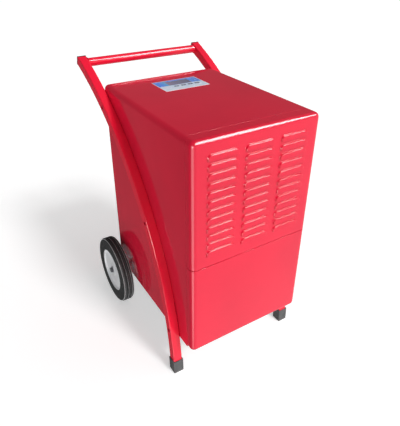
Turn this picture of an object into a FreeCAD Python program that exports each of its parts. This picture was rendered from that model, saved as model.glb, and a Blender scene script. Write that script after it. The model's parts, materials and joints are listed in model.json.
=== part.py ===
import FreeCAD, Part
import math
import os

import Sketcher

from FreeCAD import Placement, Rotation, Vector

# A wheeled commercial dehumidifier: a sheet-steel case slung between two curved square rails.
# X runs across the machine, the louvred front faces -Y, the wheels are at the back and Z is up.
# Places below are written in the case's own coordinates (Y = 0 at the middle of the case, Z = 0 on
# the floor); frame_shift then moves everything so that the origin is below the middle of the whole.

SIZES = {
    # case
    "case_width": 415, "case_depth": 556, "case_bottom": 136, "case_top": 840,
    "seam_height": 456, "sheet": 1.5, "edge_radius": 16, "front_return": 30, "top_return": 46,
    "panel_gap": 1.2, "drawer_gap": 2.4, "floor_flange": 22, "frame_shift": 73.5,
    # louvres pressed in the front
    "louvre_width": 93, "louvre_height": 16, "louvre_top": 800, "louvre_corner": 12,
    "louvre_rise": 6, "louvre_crease": 2, "louvre_edge": 3.4, "louvre_skin": 1.2,
    "louvre_pitch": 26.3, "louvre_rows": 12, "louvre_columns": 3, "louvre_column_pitch": 116,
    # rails, handle and feet
    "rail": 30, "rail_wall": 2, "rail_radius": 983.6, "rail_centre_y": 782.6, "rail_centre_z": -28,
    "rail_start": 2.0, "rail_end": 68.45, "handle_diameter": 28, "handle_angle": 67.5,
    "foot_width": 35, "foot_start": 0.6, "foot_end": 4.35, "bolt_angle_low": 11.4,
    "bolt_angle_mid": 32.3, "bolt_angle_high": 55.4, "bolt_access": 12.5, "bolt": 6,
    # wheels
    "wheel_diameter": 254, "wheel_face": 264.8, "tyre_width": 40, "rim_diameter": 165,
    "wheel_y": 238.2, "axle": 16, "bush_diameter": 20, "running_gap": 0.05,
    # inside
    "deck_height": 466, "bulkhead_y": 24, "coil_half": 160, "coil_low": 500, "coil_high": 790,
    "fan_x": 0, "fan_y": -232, "fan_z": 650, "fan_radius": 118, "orifice_radius": 124, "shroud_y": -196,
    "condenser_y": -48, "evaporator_y": 14, "compressor_x": -40, "compressor_y": 150,
    "accumulator_x": 74, "accumulator_y": 120, "pipe_lane": 188,
    "tank_half": 160, "tank_front": -238, "tank_back": -6, "tank_low": 150, "tank_high": 385,
    "tank_wall": 2.5,
    # control panel
    "label_x": 8, "label_y": 151, "label_width": 158, "label_depth": 103, "label_thickness": 0.6,
    "key_first_x": -16, "key_pitch": 25, "key_y": 134, "key_width": 16, "key_depth": 9,
    "key_travel": 0.8,
    # back
    "filter_half": 160, "filter_low": 480, "filter_high": 790, "filter_depth": 10, "filter_rim": 12,
    "gland_x": 130, "gland_z": 200,
}

doc = FreeCAD.newDocument("Dehumidifier")
sheet = doc.addObject("Spreadsheet::Sheet", "Sizes")
for row, (alias, number) in enumerate(SIZES.items(), start=1):
    sheet.set(f"A{row}", alias)
    sheet.set(f"B{row}", str(number))
    sheet.setAlias(f"B{row}", alias)
doc.recompute()


class Size:
    """A number together with the spreadsheet formula that it comes from."""

    def __init__(self, value, formula):
        self.value = value
        self.formula = formula

    @staticmethod
    def of(number):
        if isinstance(number, Size):
            return number
        return Size(float(number), f"({float(number)})")

    def join(self, sign, other, result):
        return Size(result, f"({self.formula} {sign} {other.formula})")

    def __add__(self, other):
        other = Size.of(other)
        return self.join("+", other, self.value + other.value)

    def __sub__(self, other):
        other = Size.of(other)
        return self.join("-", other, self.value - other.value)

    def __mul__(self, other):
        other = Size.of(other)
        return self.join("*", other, self.value * other.value)

    def __truediv__(self, other):
        other = Size.of(other)
        return self.join("/", other, self.value / other.value)

    def __neg__(self):
        return Size(-self.value, f"(-{self.formula})")

    __radd__ = __add__
    __rmul__ = __mul__

    def __rsub__(self, other):
        return Size.of(other) - self

    def cos(self):
        return Size(math.cos(math.radians(self.value)), f"cos({self.formula} * 1 deg)")

    def sin(self):
        return Size(math.sin(math.radians(self.value)), f"sin({self.formula} * 1 deg)")


class Sizes:
    """Each alias of the spreadsheet as a Size."""


s = Sizes()
for alias, number in SIZES.items():
    setattr(s, alias, Size(float(number), f"Sizes.{alias}"))

half = s.case_width / 2
front = -s.case_depth / 2
back = s.case_depth / 2
seam_y = front + s.front_return
rail_inner = half
rail_middle = half + s.rail / 2
rail_outer = half + s.rail
rail_angles = (s.bolt_angle_low, s.bolt_angle_mid, s.bolt_angle_high)
inside = half - s.sheet
wheel_z = s.wheel_diameter / 2
wheel_middle = s.wheel_face - s.tyre_width / 2
coil_side = s.coil_half + 3
inner_radius = s.edge_radius - s.sheet
back_opening_half = s.filter_half + 22
back_opening_z = (s.case_bottom + 24, s.case_top - 26)
back_screw = Size.of(4)
drain_at = (Size.of(0), Size.of(-100))
float_z = s.tank_high - 40
hot_y = s.evaporator_y + 98
cold_y = s.evaporator_y + 70
sides = {"left": -1, "right": 1}
NODES = []


# ---------------------------------------------------------------- helpers

def bind(item, name, size):
    """Tie one property of a document object to the spreadsheet."""
    item.setExpression(name, Size.of(size).formula)


def move(item, x, y, z, rotation=None):
    """Place an object at a point given in the case's coordinates."""
    if rotation:
        item.Placement = Placement(Vector(), rotation)
    bind(item, "Placement.Base.x", x)
    bind(item, "Placement.Base.y", Size.of(y) - s.frame_shift)
    bind(item, "Placement.Base.z", z)
    return item


def block(name, x, y, z):
    """A box between two corners, each axis given as (low, high)."""
    box = doc.addObject("Part::Box", name)
    for side, (low, high) in zip(("Length", "Width", "Height"), (x, y, z)):
        bind(box, side, Size.of(high) - low)
    return move(box, x[0], y[0], z[0])


TURNS = {"X": Rotation(Vector(0, 1, 0), 90), "Y": Rotation(Vector(1, 0, 0), -90), "Z": Rotation()}


def spot(axis, at, along):
    """The point (x, y, z) that lies at `at` across an axis and `along` down it."""
    if axis == "X":
        return along, at[0], at[1]
    if axis == "Y":
        return at[0], along, at[1]
    return at[0], at[1], along


def rod(name, axis, at, span, radius):
    """A cylinder along an axis between the two ends of span."""
    cylinder = doc.addObject("Part::Cylinder", name)
    bind(cylinder, "Radius", radius)
    bind(cylinder, "Height", Size.of(span[1]) - span[0])
    return move(cylinder, *spot(axis, at, span[0]), TURNS[axis])


def gather(name, items):
    """One tool out of several solids that needn't touch."""
    group = doc.addObject("Part::Compound", name)
    group.Links = items
    return group


def cut(name, base, *tools):
    """The base with every tool taken away."""
    item = doc.addObject("Part::Cut", name)
    item.Base = base
    item.Tool = tools[0] if len(tools) == 1 else gather(name + "_tools", list(tools))
    return item


def fuse(name, *parts):
    """Several touching solids as one."""
    item = doc.addObject("Part::MultiFuse", name)
    item.Shapes = list(parts)
    return item


def common(name, base, tool):
    """What two solids share."""
    item = doc.addObject("Part::Common", name)
    item.Base = base
    item.Tool = tool
    return item


def tube(name, axis, at, span, outer, inner):
    """A round tube, its outer and inner given as radii."""
    solid = rod(name + "_outer", axis, at, span, outer)
    return cut(name, solid, rod(name + "_bore", axis, at, span, inner))


def node(item, label):
    """Hand an object in as one sub-part."""
    item.Label = label
    NODES.append(item)
    return item


def new_body(name, x=0, y=0, z=0, rotation=None):
    """A PartDesign body at a point given in the case's coordinates."""
    body = doc.addObject("PartDesign::Body", name)
    return move(body, x, y, z, rotation)


def origin_part(body, role):
    """One plane or axis of a body's own origin."""
    return next(item for item in body.Origin.OriginFeatures if item.Role == role)


def solid_box(body, kind, name, x, y, z):
    """PartDesign::AdditiveBox or SubtractiveBox between two corners."""
    box = body.newObject(f"PartDesign::{kind}Box", name)
    for side, (low, high) in zip(("Length", "Width", "Height"), (x, y, z)):
        bind(box, side, Size.of(high) - low)
    for letter, (low, high) in zip("xyz", (x, y, z)):
        bind(box, f"Placement.Base.{letter}", low)
    return box


def edges_where(feature, test):
    """Names of the edges of a feature whose middle point passes a test."""
    names = []
    for number, edge in enumerate(feature.Shape.Edges, start=1):
        first, last = edge.ParameterRange
        if test(edge.valueAt((first + last) / 2)):
            names.append(f"Edge{number}")
    return names


def round_edges(body, name, base, test, radius):
    """Round the edges of a body's feature that pass a test."""
    doc.recompute()
    fillet = body.newObject("PartDesign::Fillet", name)
    fillet.Base = (base, edges_where(base, test))
    bind(fillet, "Radius", radius)
    return fillet


def rounded_block(name, x, y, z, test, radius):
    """A body with the edges whose middles pass the test rounded."""
    body = new_body(name)
    blank = solid_box(body, "Additive", name + "_blank", x, y, z)
    round_edges(body, name + "_bends", blank, test, radius)
    return body


def shell(name, x, y, z, bends, wall, radius, open_sides=""):
    """A sheet shell with rounded bends, open on the sides named, such as "+y -z".

    bends takes a point and the corners of the block, and says whether an edge there is bent.
    """
    spans = dict(zip("xyz", (x, y, z)))
    inner = {}
    for letter, (low, high) in spans.items():
        inner_low = Size.of(low) - wall if "-" + letter in open_sides else Size.of(low) + wall
        inner_high = Size.of(high) + wall if "+" + letter in open_sides else Size.of(high) - wall
        inner[letter] = (inner_low, inner_high)
    outside = rounded_block(name + "_outside", *spans.values(), lambda point: bends(point, spans),
                            radius)
    hollow = rounded_block(name + "_hollow", *inner.values(), lambda point: bends(point, inner),
                           Size.of(radius) - wall)
    return cut(name, outside, hollow)


def near(number, size, slack=0.01):
    """True where a number is the same as a size."""
    return abs(number - Size.of(size).value) < slack


def outline(sketch, points):
    """A closed outline of straight lines through points bound to the spreadsheet."""
    corners = [Vector(Size.of(x).value, Size.of(y).value, 0) for x, y in points]
    count = len(points)
    first = sketch.GeometryCount
    for index in range(count):
        sketch.addGeometry(Part.LineSegment(corners[index], corners[(index + 1) % count]), False)
    for index in range(count):
        following = first + (index + 1) % count
        sketch.addConstraint(Sketcher.Constraint("Coincident", first + index, 2, following, 1))
    for index, (x, y) in enumerate(points):
        place_of = corners[index]
        for kind, size, number in (("DistanceX", x, place_of.x), ("DistanceY", y, place_of.y)):
            place = sketch.addConstraint(Sketcher.Constraint(kind, -1, 1, first + index, 1, number))
            bind(sketch, f"Constraints[{place}]", size)


def rounded_outline(sketch, x, y, radius):
    """A rectangle with rounded corners between two corners, bound to the spreadsheet."""
    left, right = x[0] + radius, x[1] - radius
    low, high = y[0] + radius, y[1] - radius
    size = Size.of(radius).value
    centres = [(right, high), (left, high), (left, low), (right, low)]
    quarter = math.pi / 2
    arcs = []
    for number, (across, up) in enumerate(centres):
        round_it = Part.Circle(Vector(across.value, up.value, 0), Vector(0, 0, 1), size)
        arcs.append(Part.ArcOfCircle(round_it, quarter * number, quarter * (number + 1)))
    for number, arc in enumerate(arcs):
        following = arcs[(number + 1) % 4]
        sketch.addGeometry([arc, Part.LineSegment(arc.EndPoint, following.StartPoint)], False)
    for number, (across, up) in enumerate(centres):
        arc, line, following = 2 * number, 2 * number + 1, (2 * number + 2) % 8
        sketch.addConstraint(Sketcher.Constraint("Tangent", arc, 2, line, 1))
        sketch.addConstraint(Sketcher.Constraint("Tangent", line, 2, following, 1))
        for rule, bound in ((("DistanceX", -1, 1, arc, 3, across.value), across),
                            (("DistanceY", -1, 1, arc, 3, up.value), up),
                            (("Radius", arc, size), radius)):
            place = sketch.addConstraint(Sketcher.Constraint(*rule))
            bind(sketch, f"Constraints[{place}]", bound)


def new_sketch(body, name, role="XY_Plane", x=0, y=0, z=0):
    """A sketch on one of the body's own origin planes, moved by an offset in that plane's axes."""
    sketch = body.newObject("Sketcher::SketchObject", name)
    sketch.AttachmentSupport = (origin_part(body, role), [""])
    sketch.MapMode = "FlatFace"
    for letter, size in zip("xyz", (x, y, z)):
        bind(sketch, f"AttachmentOffset.Base.{letter}", size)
    return sketch


def both_sides(name, make):
    """The same piece at the left and the right, as one group of separate solids."""
    return gather(name, [make(side, f"{name}_{word}") for word, side in sides.items()])


def span_of(side, low, high):
    """A span along X on one side of the machine, given by its distances from the middle."""
    return (Size.of(low), Size.of(high)) if side > 0 else (-Size.of(high), -Size.of(low))


def bends_at(ends_y, ends_z):
    """A test for shell(): the edges where two bent faces of a folded sheet meet.

    The sides are always bent. ends_y and ends_z say which ends along Y and Z are, 0 the low one
    and 1 the high one.
    """
    def test(point, spans):
        across = near(point.x, spans["x"][0]) or near(point.x, spans["x"][1])
        along = any(near(point.y, spans["y"][end]) for end in ends_y)
        upright = any(near(point.z, spans["z"][end]) for end in ends_z)
        return across + along + upright >= 2
    return test


# ---------------------------------------------------------------- case

def on_rail(angle, radius=s.rail_radius):
    """The point (y, z) of the rails' arc at an angle up from the horizontal."""
    return s.rail_centre_y - radius * angle.cos(), s.rail_centre_z + radius * angle.sin()


def rail_bolt_rods(name, span, radius):
    """One rod across the machine at each fixing of the rails."""
    return [rod(f"{name}_{number}", "X", on_rail(angle), span, radius)
            for number, angle in enumerate(rail_angles)]


def hood():
    """Top, sides and the bent back edges of the case, one folded sheet."""
    sheet_shell = shell("hood_sheet", (-half, half), (seam_y + s.panel_gap, back),
                        (s.case_bottom + 2, s.case_top), bends_at([1], [1]), s.sheet, s.edge_radius, "-y -z")
    back_opening = block("back_opening", (-back_opening_half, back_opening_half), (back - 20, back + 1),
                         back_opening_z)
    lip_recess = block("lip_recess", (s.edge_radius - half, half - s.edge_radius),
                       (seam_y, front + s.top_return + s.panel_gap), (s.case_top - 5, s.case_top + 1))
    panel_opening = block("panel_opening",
                          (s.label_x - s.label_width / 2 + 12, s.label_x + s.label_width / 2 - 12),
                          (s.label_y - s.label_depth / 2 + 8, s.label_y + s.label_depth / 2 - 8),
                          (s.case_top - 5, s.case_top + 1))
    bolt_holes = rail_bolt_rods("hood_hole", (-half - 1, half + 1), s.bolt / 2 + 1.6)
    screw_holes = back_screw_rods("hood_screw_hole", (back - 3, back + 1), back_screw / 2 + 0.1)
    holes = bolt_holes + screw_holes
    return node(cut("hood_cut", sheet_shell, back_opening, lip_recess, panel_opening, *holes), "hood")


def louvre(name, inset, reach):
    """One pressed louvre, open below: its outside, or with an inset the hollow behind it.

    Its own frame is at the middle of its upper edge, on the face of the front panel, and it
    starts at a reach behind that face.
    """
    spare = 10
    body = new_body(name, -s.louvre_column_pitch, front, s.louvre_top)
    body.AllowCompound = True
    half_width = s.louvre_width / 2 - inset
    sketch = new_sketch(body, name + "_outline", "XZ_Plane", z=-Size.of(reach))
    rounded_outline(sketch, (-half_width, half_width), (-s.louvre_height - spare, -Size.of(inset)),
                    s.louvre_corner - inset)
    return body, sketch, s.louvre_height + spare


def press_out(body, sketch, name, length):
    """Raise a louvre's outline out of the panel."""
    doc.recompute()
    pad = body.newObject("PartDesign::Pad", name + "_pad")
    pad.Profile = sketch
    bind(pad, "Length", length)
    return pad


def louvre_grid(body, name):
    """Repeat the louvre so far in rows and columns."""
    doc.recompute()
    grid = body.newObject("PartDesign::LinearPattern", name + "_grid")
    grid.TransformMode = "Whole shape"
    grid.Direction = (origin_part(body, "Z_Axis"), [""])
    grid.Reversed = True
    bind(grid, "Length", s.louvre_pitch * (s.louvre_rows - 1))
    bind(grid, "Occurrences", s.louvre_rows)
    grid.Direction2 = (origin_part(body, "X_Axis"), [""])
    bind(grid, "Length2", s.louvre_column_pitch * (s.louvre_columns - 1))
    bind(grid, "Occurrences2", s.louvre_columns)
    body.Tip = grid
    return body


def louvre_hoods():
    """The outsides of all louvres, each on a patch of the panel that its crease is rounded into."""
    body, sketch, drop = louvre("louvre_hoods", 0, s.sheet)
    margin = 5
    side = s.louvre_width / 2 + margin
    solid_box(body, "Additive", "louvre_patch", (-side, side), (0, s.sheet), (-drop - margin, margin))
    pad = press_out(body, sketch, "louvre_hood", s.sheet + s.louvre_rise)

    def in_the_crease(point):
        return near(point.y, 0) and abs(point.x) < side.value - 1 and -drop.value - 1 < point.z < 1
    crease = round_edges(body, "louvre_crease", pad, in_the_crease, s.louvre_crease)
    rounded = round_edges(body, "louvre_edge", crease, lambda point: near(point.y, -s.louvre_rise),
                          s.louvre_edge)
    body.Tip = rounded
    below = -drop - margin * 2
    solid_box(body, "Subtractive", "louvre_mouth_level", (-side - 1, side + 1),
              (-s.louvre_rise - 1, 0), (below, -s.louvre_height))
    solid_box(body, "Subtractive", "louvre_patch_end", (-side - 1, side + 1),
              (-s.louvre_rise - 1, s.sheet + 1), (below, -s.louvre_height - margin))
    return louvre_grid(body, "louvre_hoods")


def louvre_hollows():
    """The space behind all louvres, open to the front at the foot of each."""
    reach = s.sheet + 1
    body, sketch, drop = louvre("louvre_hollows", s.louvre_skin, reach)
    pad = press_out(body, sketch, "louvre_hollow", reach + s.louvre_rise - s.louvre_skin)
    rounded = round_edges(body, "louvre_hollow_edge", pad,
                          lambda point: near(point.y, s.louvre_skin - s.louvre_rise),
                          s.louvre_edge - s.louvre_skin)
    body.Tip = rounded
    solid_box(body, "Subtractive", "louvre_hollow_level", (-s.louvre_width, s.louvre_width),
              (-s.louvre_rise - 1, reach + 1), (-drop - 1, -s.louvre_height))
    return louvre_grid(body, "louvre_hollows")


def upper_front_panel():
    """The louvred cover: a tray of sheet that closes the front, with a lip lying on the top."""
    tray = shell("upper_sheet", (-half, half), (front, seam_y),
                 (s.seam_height + s.drawer_gap / 2, s.case_top), bends_at([0], [1]), s.sheet,
                 s.edge_radius, "+y")
    lip = block("top_lip", (s.edge_radius - half, half - s.edge_radius),
                (seam_y - 2, front + s.top_return), (s.case_top - s.sheet, s.case_top))
    solid = fuse("upper_front_solid", tray, lip, louvre_hoods())
    return node(cut("upper_front_cut", solid, louvre_hollows()), "upper_front_panel")


def lower_front_panel():
    """The drawer's front: a tray of sheet with rounded ends and a rounded lower edge."""
    return node(shell("lower_sheet", (-half, half), (front, seam_y),
                      (s.case_bottom, s.seam_height - s.drawer_gap / 2), bends_at([0], [0]), s.sheet,
                      s.edge_radius, "+y"), "lower_front_panel")


def in_the_back_corners(point):
    """True on the two upright edges at the back of a shelf that fits inside the hood."""
    return point.y > inside.value and abs(abs(point.x) - inside.value) < 3


def base_tray():
    """The folded floor of the case, open in the middle of its front edge for the drawer."""
    x = (0.2 - inside, inside - 0.2)
    y = (seam_y + s.panel_gap, back - s.sheet - 0.3)
    low = s.case_bottom
    outer = rounded_block("tray_block", x, y, (low, low + s.floor_flange), in_the_back_corners,
                          inner_radius)
    hollow = rounded_block("tray_hollow", (x[0] + 2, x[1] - 2), (y[0] + 2, y[1] - 2), (low + 2, low + 25),
                           in_the_back_corners, inner_radius - 2)
    gate = block("tray_gate", (-s.tank_half - 22, s.tank_half + 22), (y[0] - 1, y[0] + 3),
                 (low + 2, low + 25))
    return node(cut("base_tray_cut", outer, hollow, gate), "base_tray")


def deck():
    """The shelf between the cold chamber above and the tank and compressor below."""
    through = (s.deck_height - 1, s.deck_height + 3)
    plate = rounded_block("deck_plate", (0.3 - inside, inside - 0.3), (seam_y + 6, back - s.sheet - 0.3),
                          (s.deck_height, s.deck_height + 2), in_the_back_corners, inner_radius)
    drain = rod("deck_drain", "Z", drain_at, through, 14)
    pipes = block("deck_pipe_slot", (s.pipe_lane - 9, s.pipe_lane + 9), (cold_y - 12, hot_y + 12), through)
    return node(cut("deck_cut", plate, drain, pipes), "deck")


def bulkhead():
    """The upright sheet between the tank bay and the compressor."""
    return node(block("bulkhead_plate", (2.6 - inside, inside - 2.6), (s.bulkhead_y, s.bulkhead_y + 1.5),
                      (s.case_bottom + 2, s.deck_height)), "bulkhead")


def intake_windows():
    """The cutter for the air intake: rows and columns of square windows."""
    columns, rows, bar, margin = 8, 8, 8, 10
    pitch_x = (s.filter_half * 2 - margin * 2) / columns
    pitch_z = (s.filter_high - s.filter_low - margin * 2) / rows
    body = new_body("intake_windows")
    body.AllowCompound = True
    left = margin - s.filter_half
    low = s.filter_low + margin
    window = solid_box(body, "Additive", "window", (left, left + pitch_x - bar),
                       (back - 1, back + s.sheet + 1), (low, low + pitch_z - bar))
    doc.recompute()
    grid = body.newObject("PartDesign::MultiTransform", "window_grid")
    grid.Originals = [window]
    across = doc.addObject("PartDesign::LinearPattern", "windows_across")
    across.Direction = (origin_part(body, "X_Axis"), [""])
    across.Occurrences = columns
    bind(across, "Length", pitch_x * (columns - 1))
    upward = doc.addObject("PartDesign::LinearPattern", "windows_up")
    upward.Direction = (origin_part(body, "Z_Axis"), [""])
    upward.Occurrences = rows
    bind(upward, "Length", pitch_z * (rows - 1))
    grid.Transformations = [across, upward]
    body.Tip = grid
    return body


def back_panel():
    """The screwed-on back sheet with the air intake and the hole for the cord's gland."""
    overlap = 8
    plate = block("back_plate", (-back_opening_half - overlap, back_opening_half + overlap),
                  (back, back + s.sheet), (back_opening_z[0] - overlap, back_opening_z[1] + overlap))
    gland_hole = rod("gland_hole", "Y", (s.gland_x, s.gland_z), (back - 1, back + 3), 8.2)
    screw_holes = back_screw_rods("back_screw_hole", (back - 1, back + 3), back_screw / 2 + 0.1)
    return node(cut("back_cut", plate, intake_windows(), gland_hole, *screw_holes), "back_panel")


def back_screw_rods(name, span, radius):
    """One rod along Y at each screw of the back panel, four down each side."""
    edge = back_opening_half + 4
    height = back_opening_z[1] - back_opening_z[0]
    places = [(edge * side, back_opening_z[0] + height * share)
              for side in sides.values() for share in (0.04, 0.35, 0.66, 0.97)]
    return [rod(f"{name}_{number}", "Y", at, span, radius) for number, at in enumerate(places)]


def back_screws():
    """Pan-head screws, all alike."""
    heads = back_screw_rods("back_head", (back + s.sheet, back + s.sheet + 2.4), back_screw)
    shanks = back_screw_rods("back_shank", (back - 8, back + s.sheet), back_screw / 2)
    screws = [fuse(f"back_screw_{number}", head, shank)
              for number, (head, shank) in enumerate(zip(heads, shanks))]
    return node(gather("back_screws_group", screws), "back_screws")


# ---------------------------------------------------------------- rails, handle and feet

def arc_bar(name, side, outer, inner, start, sweep):
    """A square bar or square tube that follows the rails' arc, on one side of the machine.

    The body's own frame sits at the arc's centre, turned so that the bar's lower end lies on -Y.
    """
    turned = Rotation(Vector(1, 0, 0), -Size.of(start).value)
    body = new_body(name, 0, s.rail_centre_y, s.rail_centre_z, turned)
    sketch = new_sketch(body, name + "_section")
    middle = rail_middle * side
    widths = [Size.of(outer) / 2] + ([Size.of(inner) / 2] if inner else [])
    for width in widths:
        low, high = -s.rail_radius - width, -s.rail_radius + width
        outline(sketch, [(middle - width, low), (middle + width, low), (middle + width, high),
                         (middle - width, high)])
    doc.recompute()
    swept = body.newObject("PartDesign::Revolution", name + "_arc")
    swept.Profile = sketch
    swept.ReferenceAxis = (sketch, ["H_Axis"])
    bind(swept, "Angle", sweep)
    swept.Reversed = True
    return body


def rail(name, side):
    """One curved rail of square tube, drilled for its fixings and for the handle."""
    body = arc_bar(f"rail_{name}_tube", side, s.rail, s.rail - 2 * s.rail_wall, s.rail_start,
                   s.rail_end - s.rail_start)
    rounded = round_edges(body, f"rail_{name}_corners", body.Tip, is_long_corner, 3)
    body.Tip = rounded
    outer = (rail_middle, rail_outer + 1) if side > 0 else (-rail_outer - 1, -rail_middle)
    access = rail_bolt_rods(f"rail_{name}_access", outer, s.bolt_access / 2)
    through = rail_bolt_rods(f"rail_{name}_through", (-rail_outer, rail_outer), s.bolt / 2 + 0.2)
    return node(cut(f"rail_{name}_cut", body, *access, *through), f"rail_{name}")


def is_long_corner(point):
    """True on the outer long corners of a rail, given in the arc's own frame."""
    radius = math.hypot(point.y, point.z)
    across = abs(abs(point.x) - rail_middle.value)
    mid_sweep = math.degrees(math.atan2(point.z, -point.y))
    tall = abs(abs(radius - s.rail_radius.value) - s.rail.value / 2) < 0.1
    return tall and abs(across - s.rail.value / 2) < 0.1 and 5 < mid_sweep < s.rail_end.value - 6


def rail_bolts():
    """Button-head screws deep in the rails, one at each fixing."""
    bolts = []
    for name, side in sides.items():
        for number, angle in enumerate(rail_angles):
            at = on_rail(angle)
            seat = half + s.rail_wall
            head = rod(f"bolt_head_{name}_{number}", "X", at, span_of(side, seat, seat + 4), s.bolt - 0.5)
            shank = rod(f"bolt_shank_{name}_{number}", "X", at, span_of(side, half - 14, seat), s.bolt / 2)
            solid = fuse(f"bolt_solid_{name}_{number}", head, shank)
            socket = rod(f"bolt_socket_{name}_{number}", "X", at, span_of(side, seat + 1.5, seat + 5), 2)
            bolts.append(cut(f"bolt_{name}_{number}", solid, socket))
    return node(gather("rail_bolts_group", bolts), "rail_bolts")


def rivet_nuts():
    """Threaded inserts riveted in the hood's sides, one for each rail bolt."""
    nuts = []
    for name, side in sides.items():
        for number, angle in enumerate(rail_angles):
            at = on_rail(angle)
            barrel = rod(f"insert_barrel_{name}_{number}", "X", at, span_of(side, half - 13, half),
                         s.bolt / 2 + 1.5)
            flange = rod(f"insert_flange_{name}_{number}", "X", at, span_of(side, inside - 1.2, inside),
                         s.bolt / 2 + 3.5)
            solid = fuse(f"insert_solid_{name}_{number}", barrel, flange)
            bore = rod(f"insert_bore_{name}_{number}", "X", at, span_of(side, half - 14, half + 1),
                       s.bolt / 2 + 0.02)
            nuts.append(cut(f"insert_{name}_{number}", solid, bore))
    return node(gather("rivet_nuts_group", nuts), "rivet_nuts")


def rail_plugs():
    """The plastic inserts that close the rails' upper ends."""
    plugs = []
    for name, side in sides.items():
        end_y, end_z = on_rail(s.rail_end)
        body = new_body(f"plug_{name}", rail_middle * side, end_y, end_z,
                        Rotation(Vector(1, 0, 0), -s.rail_end.value))
        stem = s.rail / 2 - s.rail_wall - 0.2
        head = s.rail / 2 + 0.4
        solid_box(body, "Additive", f"plug_{name}_stem", (-stem, stem), (-stem, stem), (-16, 0))
        cap = solid_box(body, "Additive", f"plug_{name}_head", (-head, head), (-head, head), (0, 5))
        round_edges(body, f"plug_{name}_rounding", cap,
                    lambda point: abs(point.z - 5) < 0.01 or near(abs(point.x) + abs(point.y), head * 2), 2)
        plugs.append(body)
    return node(gather("rail_plugs_group", plugs), "rail_plugs")


def foot(name, side):
    """A rubber shoe on a rail's lower end, cut off level at the floor."""
    shoe = arc_bar(f"foot_{name}_shoe", side, s.foot_width, None, s.foot_start, s.foot_end - s.foot_start)
    soft = round_edges(shoe, f"foot_{name}_rounding", shoe.Tip, is_shoe_corner, 2.5)
    shoe.Tip = soft
    pocket = arc_bar(f"foot_{name}_pocket", side, s.rail, None, s.rail_start, 4)
    corners = round_edges(pocket, f"foot_{name}_pocket_corners", pocket.Tip,
                          lambda point: 30 < point.z < 40 and is_long_edge(point), 3)
    pocket.Tip = corners
    floor = block(f"foot_{name}_floor", (-rail_outer - 20, rail_outer + 20), (-300, 0), (-60, 0))
    return node(cut(f"foot_{name}_cut", shoe, pocket, floor), f"foot_{name}")


def is_long_edge(point):
    across = abs(abs(point.x) - rail_middle.value)
    tall = abs(math.hypot(point.y, point.z) - s.rail_radius.value)
    return abs(across - tall) < 0.1


def is_shoe_corner(point):
    """True on the long outer corners and round the top of a shoe."""
    return is_long_edge(point) and point.z > 5


def handle_bar():
    """The round bar between the rails' upper ends."""
    at = on_rail(s.handle_angle, s.rail_radius + 1)
    return node(tube("handle_tube", "X", at, (-rail_inner, rail_inner), s.handle_diameter / 2,
                     s.handle_diameter / 2 - 1.8), "handle_bar")


# ---------------------------------------------------------------- wheels and axle

def about_x(name, at_x, y, z, points):
    """A turned piece: an outline of (along X, radius) points spun round an axis parallel to X."""
    body = new_body(name, at_x, y, z)
    sketch = new_sketch(body, name + "_profile")
    outline(sketch, points)
    doc.recompute()
    turned = body.newObject("PartDesign::Revolution", name + "_turned")
    turned.Profile = sketch
    turned.ReferenceAxis = (sketch, ["H_Axis"])
    turned.Angle = 360
    return body


def tyre(name, side):
    """Solid rubber tyre: flat wall, rounded shoulders and three grooves round the tread."""
    seat = s.rim_diameter / 2
    tread = s.wheel_diameter / 2
    edge = s.tyre_width / 2
    points = [(-edge, seat), (-edge, tread - 9), (-edge + 1, tread - 5), (-edge + 3, tread - 2),
              (-edge + 6, tread)]
    for middle, depth in ((-8, 3.5), (0, 5), (8, 3.5)):
        points += [(middle - 1.8, tread), (middle - 0.8, tread - depth), (middle + 0.8, tread - depth),
                   (middle + 1.8, tread)]
    points += [(edge - 6, tread), (edge - 3, tread - 2), (edge - 1, tread - 5), (edge, tread - 9),
               (edge, seat)]
    return node(about_x(f"tyre_{name}_body", wheel_middle * side, s.wheel_y, wheel_z, points), f"tyre_{name}")


def rim(name, side):
    """Pressed steel wheel disc with its tyre seat and hub, dished towards the outside."""
    seat = s.rim_diameter / 2 - 0.05
    bore = s.bush_diameter / 2 + 0.03
    profile = [(18, seat), (18, seat - 3), (12.5, seat - 7.5), (11, 27), (14, 20), (14, bore), (-14, bore),
               (-14, 15), (8.6, 15), (8.6, 26.8), (10.3, seat - 6.5), (10.3, seat - 2), (-18, seat - 2),
               (-18, seat)]
    points = [(along * side, radius) for along, radius in profile]
    return node(about_x(f"rim_{name}_body", wheel_middle * side, s.wheel_y, wheel_z, points), f"rim_{name}")


def bush(name, side):
    """Nylon bush pressed into the hub, which runs on the axle."""
    low = wheel_middle * side - 14
    high = wheel_middle * side + 14
    return node(tube(f"bush_{name}_tube", "X", (s.wheel_y, wheel_z), (low, high), s.bush_diameter / 2,
                     s.axle / 2 + s.running_gap), f"bush_{name}")


def axle():
    """One steel rod right across, turned down at both ends for the wheel nuts."""
    shoulder = wheel_middle + 14.1
    end = wheel_middle + 22.5
    at = (s.wheel_y, wheel_z)
    return node(fuse("axle_fuse", rod("axle_rod", "X", at, (-shoulder, shoulder), s.axle / 2),
                     rod("axle_ends", "X", at, (-end, end), 6)), "axle")


def axle_brackets():
    """Steel blocks welded under the floor, which carry the axle."""
    def bracket(side, name):
        x = span_of(side, half - 32, half - 0.1)
        web = block(f"{name}_web", x, (s.wheel_y - 15, s.wheel_y + 15), (wheel_z - 16, s.case_bottom))
        flange = block(f"{name}_flange", x, (s.wheel_y - 36, s.wheel_y + 36),
                       (s.case_bottom - 3, s.case_bottom))
        bore = rod(f"{name}_bore", "X", (s.wheel_y, wheel_z), (x[0] - 1, x[1] + 1),
                   s.axle / 2 + s.running_gap)
        return cut(name, fuse(f"{name}_solid", web, flange), bore)
    return node(both_sides("axle_bracket", bracket), "axle_brackets")


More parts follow.
